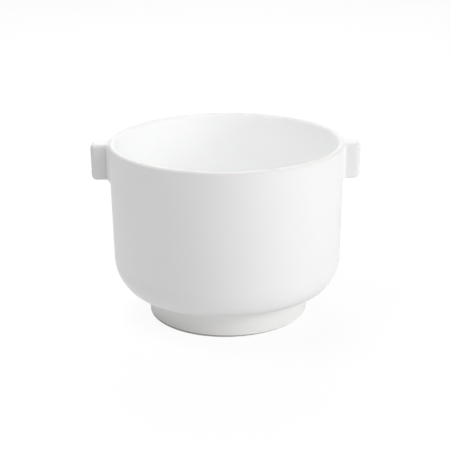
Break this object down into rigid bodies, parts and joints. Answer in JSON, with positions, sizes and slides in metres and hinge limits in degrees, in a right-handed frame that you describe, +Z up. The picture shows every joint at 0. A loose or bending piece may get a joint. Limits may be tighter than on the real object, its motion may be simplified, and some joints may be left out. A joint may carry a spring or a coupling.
{
  "type": "plant pot",
  "caption": "Round ceramic cover pot with a rounded base corner, a raised foot ring and small square lug handles at the rim.",
  "frame": {"origin": "on the pot's axis, in the plane that it stands on", "axes": "+Z up along the pot's axis, X from lug to lug, -Y towards the side that faces the viewer"},
  "size_m": [0.2314, 0.2, 0.1535],
  "materials": {
    "glaze": "satin white glaze"
  },
  "bodies": {
    "root": {"bowl": "glaze", "foot_ring": "glaze", "lug_left": "glaze", "lug_right": "glaze"}
  },
  "joints": []
}
